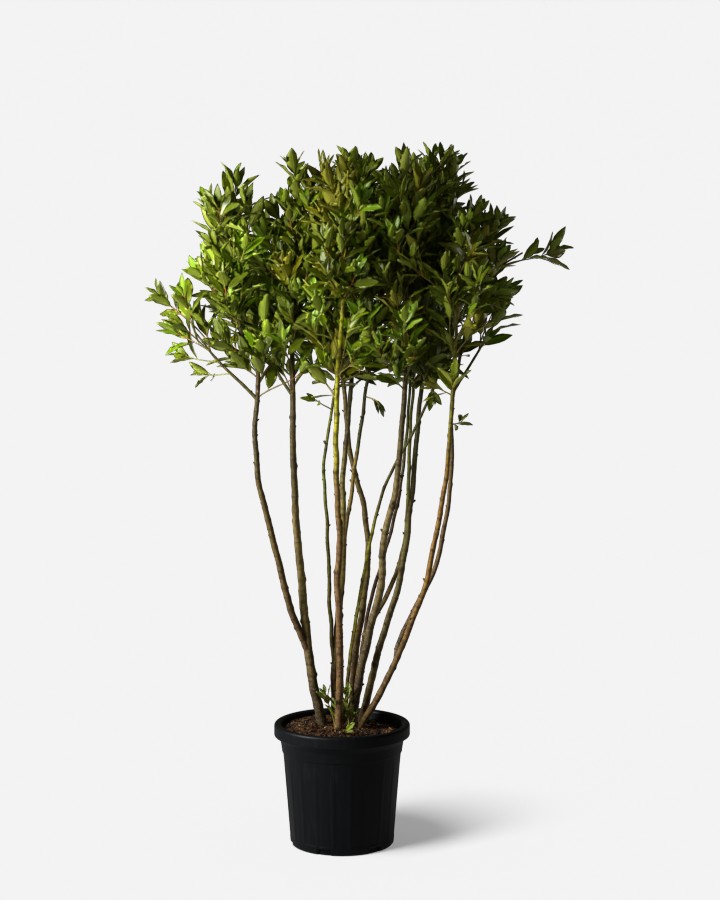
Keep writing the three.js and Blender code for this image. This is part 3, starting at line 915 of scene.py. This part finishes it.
def shoots_of(name, rng):
    """The shoots of one mass, as (path, number of shoots that grow on it), grown nearest first."""
    low, high = (np.array(corner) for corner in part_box(name))
    places, ways = near_limbs(low, high)
    owners = np.full(len(places), -1)
    tips = shoot_tips(name, rng)
    gaps = np.linalg.norm(tips[:, None] - places, axis=2).min(1)
    paths = []
    loads = []
    for tip in tips[np.argsort(gaps)]:
        path, source = grow(tip, places, ways, rng)
        owner = owners[source]
        while owner >= 0:
            loads[owner][0] += 1
            owner = loads[owner][1]
        loads.append([0, owners[source]])
        paths.append(path)
        places = np.concatenate([places, path[BEARING]])
        ways = np.concatenate([ways, headings(path)[BEARING]])
        owners = np.concatenate([owners, np.full(len(path[BEARING]), len(paths) - 1)])
    return [(path, load[0]) for path, load in zip(paths, loads)]


def twig_wood(name, first, second, patch):
    """Young bark: two shades in long streaks, with small darker flecks."""
    finish = Finish(name)
    streaks = finish.noise(80, 3, stretch=(1, 1, 0.4))
    flecks = finish.rise(finish.noise(400, 2), 0.6, 0.7, 0.6)
    base = finish.blend(finish.rise(streaks, 0.4, 0.6), first, second)
    base = finish.blend(flecks, base, patch)
    return finish.shade(
        Base_Color=base,
        Roughness=0.55 + streaks * 0.2,
        Normal=finish.bump(streaks, 0.3 * MM),
    )


twig_shades = [
    twig_wood("twig_older", "776a2e", "8a7c34", "503a20"),
    twig_wood("twig_russet", "8e5022", "a8682c", "643418"),
    twig_wood("twig_green", "868c22", "989e30", "766420"),
]


def twig_skin(path, load):
    """A shoot's tube, thicker the more shoots it bears and gently uneven; how far along it each
    face of its side ends, from 0 to 1; and its middle line."""
    line, share = smooth_line(path, 9 * MM, np.linspace(0, 1, len(path)))
    foot = (1.7 + 0.55 * math.sqrt(load)) * MM
    radius = foot + (0.95 * MM - foot) * share ** 0.8
    radius *= 1 + 0.09 * swells(share[:, None], 0.16, len(line))
    vertices, faces = skin(tube(line, radius, TWIG_SIDES))
    along = np.repeat(share[1:], TWIG_SIDES)
    return (vertices, faces), along, line


def leaf_stations(length, reach, rng):
    """Distances from a shoot's tip at which it bears leaves: close together at the tip, about
    20 mm apart further down, as far as the leafy stretch goes."""
    leafy = min(length - 14 * MM, rng.uniform(*reach))
    gaps = np.minimum(4 + 1.7 * np.arange(22), 20) * rng.uniform(0.8, 1.2, 22) * MM
    stations = np.cumsum(gaps)
    return stations[stations < max(leafy, 25 * MM)]


# ---------------------------------------------------------------------------- leaves
# Bay leaves: stiff, leathery blades 50 to 100 mm long, lance-shaped with a wavy edge, folded a
# little along the pale midrib. Deep green and half glossy above, paler and dull below, on short
# russet stalks. The blade, its underside and the midrib are modelled; the fine veins are bump.

LEAF_ROWS = np.array([0, 0.13, 0.31, 0.5, 0.69, 0.86, 1])  # shares of the length
LEAF_COLUMNS = np.array([-1, -0.5, 0, 0.5, 1])  # shares of the half-width
LEAF_LENGTH = 91 * MM
LEAF_WIDTH = 0.365  # share of the length
LEAF_BEND = (0.03, 0.45)  # radians that the midrib turns down from foot to tip
LEAF_FOLD = (0.05, 0.32)  # radians that each half of the blade rises from it
LEAF_THICKNESS = 0.55 * MM
STALK = 6 * MM
RIB_ROWS = np.array([0, 0.33, 0.66, 0.93])
RIB_RADII = np.array([1.0, 0.95, 0.8, 0.6, 0.3]) * MM  # at the stalk's foot, then at those rows
LEAF_REACH = 22 * MM  # how far a leaf may reach out of the plant's outline
LEAF_GLOSS = (0.9, 1.0, 0.45, 1.0)  # the waxy skin's reflection is yellow-green
STALK_SIDE = -1
GOLDEN_TURN = 2.39996
WAVINESS = 0.09  # height of the edge's waves beside the half-width
VEIN_RATE = 75  # radians of the side veins' wave over a whole blade
LIGHT_WAY = unit(np.array([-0.35, -0.25, 1.0]))
KINDS_TURN = (0.176, 0.976)  # shares of the crown's width between which its leaf kinds shift
YOUNGEST = 4  # leaves at a shoot's tip that may be fresher than the rest
FRESH_TIPS = 0.3  # share of the sprays in which they are


def leaf_faces():
    """Corner numbers of one leaf. The upper sheet is a grid with one point at either end, 0 and 26.
    The lower sheet shares its edges and has its own corners from 27 on, and the stalk and midrib
    are one three-sided stick from 42 on. The sides are 0 above, 1 below and 2 for the midrib."""
    upper = np.empty((7, 5), int)
    upper[0] = 0
    upper[1:6] = 1 + np.arange(25).reshape(5, 5)
    upper[6] = 26
    lower = upper.copy()
    lower[1:6, 1:4] = 27 + np.arange(15).reshape(5, 3)
    quads = []
    tips = []
    for sheet, order in ((upper, 1), (lower, -1)):
        body = sheet[1:6]
        quads.append(np.stack([body[:-1, :-1], body[1:, :-1], body[1:, 1:], body[:-1, 1:]], -1)
                     .reshape(-1, 4)[:, ::order])
        tips.append(np.stack([sheet[0, :-1], sheet[1, :-1], sheet[1, 1:]], -1)[:, ::order])
        tips.append(np.stack([sheet[5, :-1], sheet[6, :-1], sheet[5, 1:]], -1)[:, ::order])
    rings = 42 + np.arange(15).reshape(5, 3)
    following = np.roll(rings, -1, axis=1)
    stick = np.stack([rings[:-1], following[:-1], following[1:], rings[1:]], -1).reshape(-1, 4)
    ends = np.stack([rings[0, ::-1], rings[-1]])
    four = np.concatenate([*quads, stick])
    three = np.concatenate([*tips, ends])
    four_sides = np.r_[np.zeros(16, int), np.ones(16, int), np.full(3, STALK_SIDE), np.full(9, 2)]
    three_sides = np.r_[np.zeros(8, int), np.ones(8, int), STALK_SIDE, 2]
    return four, three, four_sides, three_sides


def leaf_places(root, way, up, length, width, bend, fold, phase, twist):
    """Vertices of many leaves at once (leaves x 57 x 3). Along the blade the midrib follows an arc
    that turns down by `bend`. Across it, a point lies at its share of the half-width, which
    swells and tapers like a sine; it is raised by the fold and by a wave that grows to the edge,
    and turned about the midrib by `twist`."""
    side = np.cross(up, way)
    shape = (len(root), 1, 1)
    bend, fold, phase, twist = (np.reshape(a, shape) for a in (bend, fold, phase, twist))
    length, width = np.reshape(length, shape), np.reshape(width, shape)

    def placed(u, across, lift):
        turn = bend * u
        ahead = length * np.sin(turn) / bend + lift * np.sin(turn)
        rise = -length * (1 - np.cos(turn)) / bend + lift * np.cos(turn)
        start = root + way * STALK
        return (start[:, None, None] + way[:, None, None] * ahead[..., None]
                + side[:, None, None] * across[..., None] + up[:, None, None] * rise[..., None])

    u = LEAF_ROWS[1:6, None]
    v = LEAF_COLUMNS[None, :]
    half = np.sin(math.pi * u ** 0.93) ** 0.9 * width / 2
    wave = WAVINESS * np.sin(TAU * 2.4 * u + phase + 1.6 * np.sign(v)) * v ** 2
    across = v * half * np.cos(fold)
    lift = (np.abs(v) ** 1.3 * np.sin(fold) + wave) * half * 1.6
    turned_across = across * np.cos(twist * u) - lift * np.sin(twist * u)
    turned_lift = across * np.sin(twist * u) + lift * np.cos(twist * u)
    upper = placed(u + 0 * v, turned_across, turned_lift)
    lower = placed(u + 0 * v[:, 1:4], turned_across[..., 1:4],
                   turned_lift[..., 1:4] - LEAF_THICKNESS)
    none = np.zeros(shape)
    foot = placed(none, none, none)
    tip = placed(none + 1, none, none)
    angle = math.pi / 2 + turns(3)
    rib_rows = RIB_ROWS[:, None] + 0 * angle
    rib = placed(rib_rows, none + RIB_RADII[1:, None] * np.cos(angle),
                 none + RIB_RADII[1:, None] * np.sin(angle) - 0.3 * MM)
    spokes = side[:, None] * np.cos(angle)[:, None] + up[:, None] * np.sin(angle)[:, None]
    stalk = (root[:, None] + spokes * RIB_RADII[0])[:, None]
    parts = [foot, upper, tip, lower, stalk, rib]
    return np.concatenate([part.reshape(len(root), -1, 3) for part in parts], 1)


def leaf_marks(count, tint):
    """Per vertex: a UV with the share along the blade and across it, and the leaf's own tint."""
    u, v = np.meshgrid(LEAF_ROWS[1:6], LEAF_COLUMNS / 2 + 0.5, indexing="ij")
    upper = np.stack([u, v], -1)
    stick = np.tile([0.5, 0.5], (15, 1))
    one = np.concatenate([[[0, 0.5]], upper.reshape(-1, 2), [[1, 0.5]],
                          upper[:, 1:4].reshape(-1, 2), stick])
    return {"blade": np.tile(one, (count, 1)), "tint": np.repeat(tint, len(one))}


def blade(name, dark, light, vein, roughness, bump_depth):
    """A leaf surface: a shade between dark and light by the leaf's tint and by soft clouds, paler
    side veins that run out and forward from the midrib, and their relief."""
    finish = Finish(name)
    spread = finish.node("UVMap", {"uv_map": "blade"})
    along = finish.node("SeparateXYZ", sockets={"Vector": spread}, output="X")
    across = finish.node("SeparateXYZ", sockets={"Vector": spread}, output="Y")
    aside = finish.node("Math", {"operation": "ABSOLUTE"}, {0: across - 0.5})
    rows = finish.node("Math", {"operation": "SINE"}, {0: (along - aside * 0.35) * VEIN_RATE})
    veins = finish.rise(rows * 0.5 + 0.5, 0.8, 1)
    tint = finish.node("Attribute", {"attribute_name": "tint"}, output="Fac")
    cloud = finish.noise(45, 2)
    base = finish.blend(tint * 0.7 + cloud * 0.3, dark, light)
    base = finish.blend(veins * 0.22, base, vein)
    return finish.shade(
        Base_Color=base,
        Roughness=roughness + cloud * 0.14,
        Specular_IOR_Level=0.35,
        Specular_Tint=LEAF_GLOSS,
        Coat_Weight=0.42,
        Coat_Roughness=0.26,
        Normal=finish.bump(rows * 0.5 + cloud, bump_depth),
    )


# Each kind of leaf: dark and light above, dark and light below, and how often a spray has it at the
# crown's left end and at its right one. These shares are partly painted light and shade: fresher,
# brighter kinds lean to the lit left and olive ones to the shaded right.
LEAF_KINDS = {
    "deep": ("3c4800", "566400", "67720e", "7c892a", 0.40, 0.27),
    "mid": ("4a5a00", "6a7b00", "757e14", "8c9534", 0.40, 0.14),
    "olive": ("585600", "757200", "807b12", "948f2c", 0.0, 0.57),
    "fresh": ("4c6a00", "6e9000", "788c14", "92a634", 0.20, 0.02),
    "lime": ("8a9a10", "a8b81e", "a8b23e", "bcc256", 0.0, 0.0),
}
leaf_shades = []
for kind, row in LEAF_KINDS.items():
    above = blade("leaf_above_" + kind, *row[:2], "8a9a2c", 0.3, 0.25 * MM)
    below = blade("leaf_below_" + kind, *row[2:4], "b0bc5c", 0.5, 0.3 * MM)
    rib = ("b98a3a", "c49a48") if kind == "lime" else ("9ca038", "aeb04c")
    leaf_shades += [above, below, twig_wood("leaf_rib_" + kind, *rib, "94742e")]
leaf_shades.append(twig_shades[1])


def leaves_on(line, rng, droop, reach):
    """Root, way, upper direction and sizes of a shoot's leaves. They stand a golden turn apart, in
    a steep rosette at the tip and opening to 56 degrees further down, smaller at the tip, with the
    upper side to the shoot's tip and the light."""
    run = distances(line)
    stations = leaf_stations(run[-1], reach, rng)
    root = read_off(run[-1] - stations, run, line)
    axis = unit(read_off(run[-1] - stations, run, headings(line)))
    count = len(stations)
    turn = rng.uniform(0, TAU) + GOLDEN_TURN * np.arange(count) + rng.normal(0, 0.25, count)
    first = unit(np.cross(axis, [0.3, 0.9, 0.1]))
    second = np.cross(axis, first)
    spoke = first * np.cos(turn)[:, None] + second * np.sin(turn)[:, None]
    down = stations / (120 * MM)
    opening = 20 + 36 * np.clip(down, 0, 1) ** 0.7 + rng.normal(0, 9, count)
    opening = np.radians(opening)[:, None]
    heading = unit(axis * np.cos(opening) + spoke * np.sin(opening) + [0, 0, 0.15 - droop])
    up = axis + 0.35 * LIGHT_WAY + rng.normal(0, 0.22, (count, 3))
    up = unit(up - heading * (up * heading).sum(1, keepdims=True))
    size = np.interp(stations, [0, 15 * MM, 45 * MM, 120 * MM], [0.5, 0.72, 1.0, 0.95])
    size = size * rng.normal(LEAF_LENGTH, LEAF_LENGTH / 10, count)
    return root, heading, up, size


def leaf_piece(name, sprays, rng):
    """All leaves of a mass as one piece. Each spray has one kind of leaf, and now and then its
    youngest leaves are fresher."""
    root, way, up, length, kind = (np.concatenate(part) for part in zip(*sprays))
    count = len(root)
    width = length * rng.normal(LEAF_WIDTH, 0.035, count)
    bend = rng.uniform(*LEAF_BEND, count)
    fold = rng.uniform(*LEAF_FOLD, count)
    places = leaf_places(root, way, up, length, width, bend, fold, rng.uniform(0, TAU, count),
                         rng.normal(0, 0.25, count))
    four, three, four_sides, three_sides = leaf_faces()
    start = np.arange(count)[:, None, None] * places.shape[1]
    faces = [(start + four).reshape(-1, 4), (start + three).reshape(-1, 3)]
    stalk_shade = len(leaf_shades) - 1
    shades = [np.where(sides == STALK_SIDE, stalk_shade, kind[:, None] * 3 + sides).ravel()
              for sides in (four_sides, three_sides)]
    tint = np.clip(rng.normal(0.5, 0.25, count), 0, 1)
    return piece(name, places.reshape(-1, 3), faces, leaf_shades,
                 shades=np.concatenate(shades), marks=leaf_marks(count, tint))


# The front stems run bare in front of the foliage up to these heights, in metres.
BARE_RUNS = {"stem_front": 1.62, "stem_far_right_front": 1.59, "stem_left_inner": 1.45,
             "stem_right_inner": 1.42}
BARE_STRIP = 16 * MM


def before_stem(places):
    """Whether each place (leaves x places x 3) lies in front of a stem's bare run: no further to
    the side of it than the strip's half-width, nearer to the front, and below the run's top."""
    hidden = np.zeros(places.shape[:-1], bool)
    for name, top in BARE_RUNS.items():
        line = limb_lines[name][0]
        x, y = (np.interp(places[..., 2], line[:, 2], line[:, a]) for a in (0, 1))
        beside = np.abs(places[..., 0] - x) < BARE_STRIP
        hidden |= beside & (places[..., 1] < y + 8 * MM) & (places[..., 2] < top)
    return hidden


def spray(line, rng, kind=None, droop=0.0, lowest=0.0, reach=LEAFY):
    """One shoot's leaves with the kind of each. None grows below the lowest height or reaches far
    out of the plant's outline, and unless the kind is given, none hides a bare stem. A kind that
    isn't given is drawn by its share at the shoot's place between the crown's left and right,
    shares that lean fresher on the lit left and olive on the shaded right as painted light and
    shade."""
    root, way, up, size = leaves_on(line, rng, droop, reach)
    along = root[:, None] + way[:, None] * size[:, None, None] * np.array([[0.15], [0.5], [0.9]])
    tip = root + way * size[:, None]
    low, high = (np.array(corner) for corner in cad_box)
    grown = (root[:, 2] > lowest) & (tip > low - LEAF_REACH).all(1)
    grown &= (tip < high + LEAF_REACH).all(1)
    grown &= (kind is not None) | ~before_stem(along).any(1)
    root, way, up, size = root[grown], way[grown], up[grown], size[grown]
    # Kinds lean fresher on the crown's lit left and olive on its shaded right: partly painted light
    # and shade.
    toward_shaded_right = np.interp((line[0, 0] - low[0]) / (high[0] - low[0]), KINDS_TURN, (0, 1))
    often = np.array([row[4] * (1 - toward_shaded_right) + row[5] * toward_shaded_right for row in LEAF_KINDS.values()])
    chosen = rng.choice(len(often), p=often) if kind is None else list(LEAF_KINDS).index(kind)
    kinds = np.full(len(root), chosen)
    if kind is None and rng.uniform() < FRESH_TIPS:
        kinds[:YOUNGEST] = list(LEAF_KINDS).index("fresh")
    return root, way, up, size, kinds


for number, mass in enumerate(MASSES):
    rng = np.random.default_rng(SEED + 200 + number)
    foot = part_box(mass)[0].z
    skins = []
    shares = []
    sprays = []
    for path, load in shoots_of(mass, rng):
        wood, share, line = twig_skin(path, load)
        skins.append(wood)
        shares.append((share, rng.uniform() < 0.5))
        sprays.append(spray(line, rng, lowest=foot + LEAFLESS if foot < CROWN_FOOT else 0,
                            reach=OWN_LEAFY.get(mass, LEAFY)))
    vertices, faces = joined(skins)
    shades = []
    for (share, russet), (_, parts) in zip(shares, skins):
        young = 1 if russet else 2
        shades.append(np.where(share > 1 - YOUNG_SHARE, young, 0))
        shades.append(np.zeros(TWIG_SIDES, int))
        shades.append(np.full(TWIG_SIDES, young))
    twigs = piece(mass.replace("foliage", "twigs"), vertices, faces, twig_shades,
                  shades=np.concatenate(shades))
    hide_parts(mass)
    leaves = leaf_piece(mass.replace("foliage", "leaves"), sprays, rng)
    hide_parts(mass)

# ---------------------------------------------------------------------------- stray shoots
# Young suckers with small leaves stand on the compost among the stems' feet, and a few short
# shoots leave the stems and a bough by themselves just under the crown, some of them hanging.

# Each sucker: place on the compost, tip, leaf size in millimetres, number of leaves and their kind.
SUCKERS = [
    ((-0.022, 0.005), (-0.048, -0.02, 0.452), 58, 5, "deep"),
    ((-0.012, 0.03), (-0.02, 0.02, 0.405), 52, 8, "deep"),
    ((0.002, -0.066), (0.01, -0.082, 0.352), 66, 6, "mid"),
    ((0.02, 0.035), (0.012, 0.03, 0.44), 56, 9, "deep"),
    ((0.028, 0.02), (0.036, 0.01, 0.385), 46, 6, "deep"),
]
# Each stray: limb, height at which it leaves, tip, leaf size, number of leaves, kind and droop.
STRAYS = [
    ("stem_slender", 1.29, (-0.075, -0.05, 1.322), 74, 3, "mid", 0.2),
    ("stem_middle_right", 1.33, (0.105, -0.05, 1.315), 66, 7, "deep", 0.9),
    ("stem_far_right_front", 1.33, (0.316, -0.16, 1.385), 104, 5, "lime", 0.0),
    ("stem_far_right_front", 1.34, (0.27, -0.13, 1.365), 84, 6, "olive", 0.3),
    ("stem_far_right_front", 1.255, (0.348, -0.07, 1.262), 58, 6, "deep", 0.1),
    ("stem_right", 1.36, (0.262, -0.04, 1.345), 84, 3, "deep", 1.1),
    ("bough_far_left", 1.43, (-0.45, -0.07, 1.452), 88, 5, "mid", 0.1),
    ("bough_far_left", 1.4, (-0.4, -0.05, 1.395), 76, 5, "deep", 0.2),
]


def stray(start, leave, tip, size, count, kind, droop, seed):
    """Twig and leaves of one lone shoot: a bent path from its start to its tip, with its leaves
    at the tip."""
    rng = np.random.default_rng(seed)
    tip = np.array(tip)
    far = np.linalg.norm(tip - start)
    arrive = unit(tip - start + np.array([0, 0, 0.4 - droop]) * far) * far
    (line,) = smooth_line(bent_path(start, leave * far, tip, arrive), 5 * MM)
    twig = skin(tube(line, np.linspace(1.5, 0.8, len(line)) * MM, TWIG_SIDES))
    root, way, up, length, kinds = spray(line, rng, kind, droop)
    length = length * size * MM / LEAF_LENGTH
    return twig, (root[:count], way[:count], up[:count], length[:count], kinds[:count])


lone = []
for number, (foot, tip, size, count, kind) in enumerate(SUCKERS):
    start = np.r_[foot, compost_height(np.array(foot)) - 4 * MM]
    upright = np.array([0, 0, 1])
    lone.append(stray(start, upright, tip, size, count, kind, 0.0, SEED + 300 + number))
for number, (limb, height, tip, size, count, kind, droop) in enumerate(STRAYS):
    line = limb_lines[limb][0]
    at = int(np.argmin(np.abs(line[:, 2] - height)))
    leave = unit(np.array(tip) - line[at])
    lone.append(stray(line[at], leave, tip, size, count, kind, droop, SEED + 320 + number))
vertices, faces = joined([twig for twig, _ in lone])
twigs = piece("twigs_stray", vertices, faces, [twig_shades[2]])
lone_sprays = [leaves_of for _, leaves_of in lone]
leaves = leaf_piece("leaves_stray", lone_sprays, np.random.default_rng(SEED + 340))

# ---------------------------------------------------------------------------- floor and light
# A pale seamless floor that only takes the pot's soft shadow, from a lamp and an even wash of its
# own. One large lamp on the left lights the plant, helped by two small ones at the front; two more
# light its back and its right side, and a weak, warm fill comes from all round.

SEAMLESS = paint("f3f3f3")
FILL = paint("f3f2c0")
FILL_STRENGTH = 0.076
FLOOR_REACH = 9
WALL_RADIUS = 30
WALL_HEIGHT = 20
WALL_SIDES = 48

seamless_finish = Finish("seamless_floor").shade(Base_Color=grey(0.25), Roughness=0.9)


def sheet(name, vertices, faces):
    """A surface of which nothing shows but the shadow on it."""
    mesh = bpy.data.meshes.new(name)
    mesh.from_pydata(vertices, [], faces)
    mesh.materials.append(seamless_finish)
    made = bpy.data.objects.new(name, mesh)
    made.is_shadow_catcher = True
    scene.collection.objects.link(made)
    return made


corners = [(x * FLOOR_REACH, y * FLOOR_REACH, 0) for x, y in ((-1, -1), (1, -1), (1, 1), (-1, 1))]
floor = sheet("floor", corners, [(0, 1, 2, 3)])

# Beyond the floor's edge a sheet a hair lower and a round wall carry on the same plain white. Only
# the camera sees them, and they throw no light.
wall_foot = about_axis(WALL_RADIUS, turns(WALL_SIDES), np.full(WALL_SIDES, -1 * MM))
wall_rings = np.stack([wall_foot, wall_foot + [0, 0, WALL_HEIGHT]])
wall_vertices, (wall_sides, wall_floor, _) = skin(wall_rings)
wall = sheet("backdrop", wall_vertices.tolist(), wall_sides.tolist() + wall_floor.tolist())
for ray in ("diffuse", "glossy", "transmission", "volume_scatter", "shadow"):
    setattr(wall, "visible_" + ray, False)


def lamp(name, place, aim, width, height, power, spread=180):
    """An oblong lamp at a place, turned to its aim, whose beam opens by `spread` degrees."""
    data = bpy.data.lights.new(name, "AREA")
    data.spread = math.radians(spread)
    data.shape = "RECTANGLE"
    data.size = width
    data.size_y = height
    data.energy = power
    made = bpy.data.objects.new(name, data)
    made.visible_camera = False
    made.location = place
    made.rotation_euler = (Vector(aim) - Vector(place)).to_track_quat("-Z", "Y").to_euler()
    scene.collection.objects.link(made)
    return made


def linked(name, objects, state="INCLUDE"):
    """A collection that lets a lamp light only these objects, or all but these."""
    group = bpy.data.collections.new(name)
    for entry in objects:
        group.objects.link(entry)
    for entry in group.collection_objects:
        entry.light_linking.link_state = state
    return group


floor_only = linked("floor_only", (floor, wall))
pot_only = linked("pot_only", (pot,))
all_but_floor = linked("all_but_floor", (floor, wall), "EXCLUDE")
all_but_floor_and_pot = linked("all_but_floor_and_pot", (floor, wall, pot), "EXCLUDE")

for made in (lamp("key", (-2.8, -1.2, 2.15), (-0.1, 0, 0.95), 1.2, 1.2, 28, 55),
             lamp("near", (-1.35, -1.9, 2.0), (-0.31, 0, 1.7), 0.4, 0.4, 1.95, 24),
             lamp("side", (1.3, -3.6, 2.2), (0.36, 0, 1.78), 0.8, 0.8, 0.22, 30)):
    made.light_linking.receiver_collection = all_but_floor
for made in (lamp("behind", (0.4, 3.6, 1.3), (0.05, 0, 1.15), 1.6, 1.6, 34),
             lamp("flank", (3.1, 1.5, 1.4), (0.1, 0, 1.2), 1.4, 1.4, 22)):
    made.light_linking.receiver_collection = all_but_floor_and_pot
ground = lamp("ground", (-1.5, -1.35, 2.83), (0.1, 0, 0), 0.9, 2.5, 120)
ground.light_linking.receiver_collection = floor_only
ground.light_linking.blocker_collection = pot_only

wash_data = bpy.data.lights.new("floor_wash", "SUN")
wash_data.energy = 1.1
wash_data.use_shadow = False
wash = bpy.data.objects.new("floor_wash", wash_data)
scene.collection.objects.link(wash)
wash.light_linking.receiver_collection = floor_only

# The camera sees plain white all round, and the rest is lit by the fill.
world = bpy.data.worlds.new("studio")
world.use_nodes = True
scene.world = world
sky = world.node_tree
sky.nodes.clear()
seen = sky.nodes.new("ShaderNodeBackground")
seen.inputs["Color"].default_value = SEAMLESS
fill = sky.nodes.new("ShaderNodeBackground")
fill.inputs["Color"].default_value = FILL
fill.inputs["Strength"].default_value = FILL_STRENGTH
rays = sky.nodes.new("ShaderNodeLightPath")
either = sky.nodes.new("ShaderNodeMixShader")
outlet = sky.nodes.new("ShaderNodeOutputWorld")
sky.links.new(rays.outputs["Is Camera Ray"], either.inputs[0])
sky.links.new(fill.outputs[0], either.inputs[1])
sky.links.new(seen.outputs[0], either.inputs[2])
sky.links.new(either.outputs[0], outlet.inputs["Surface"])

scene.view_settings.view_transform = "Standard"
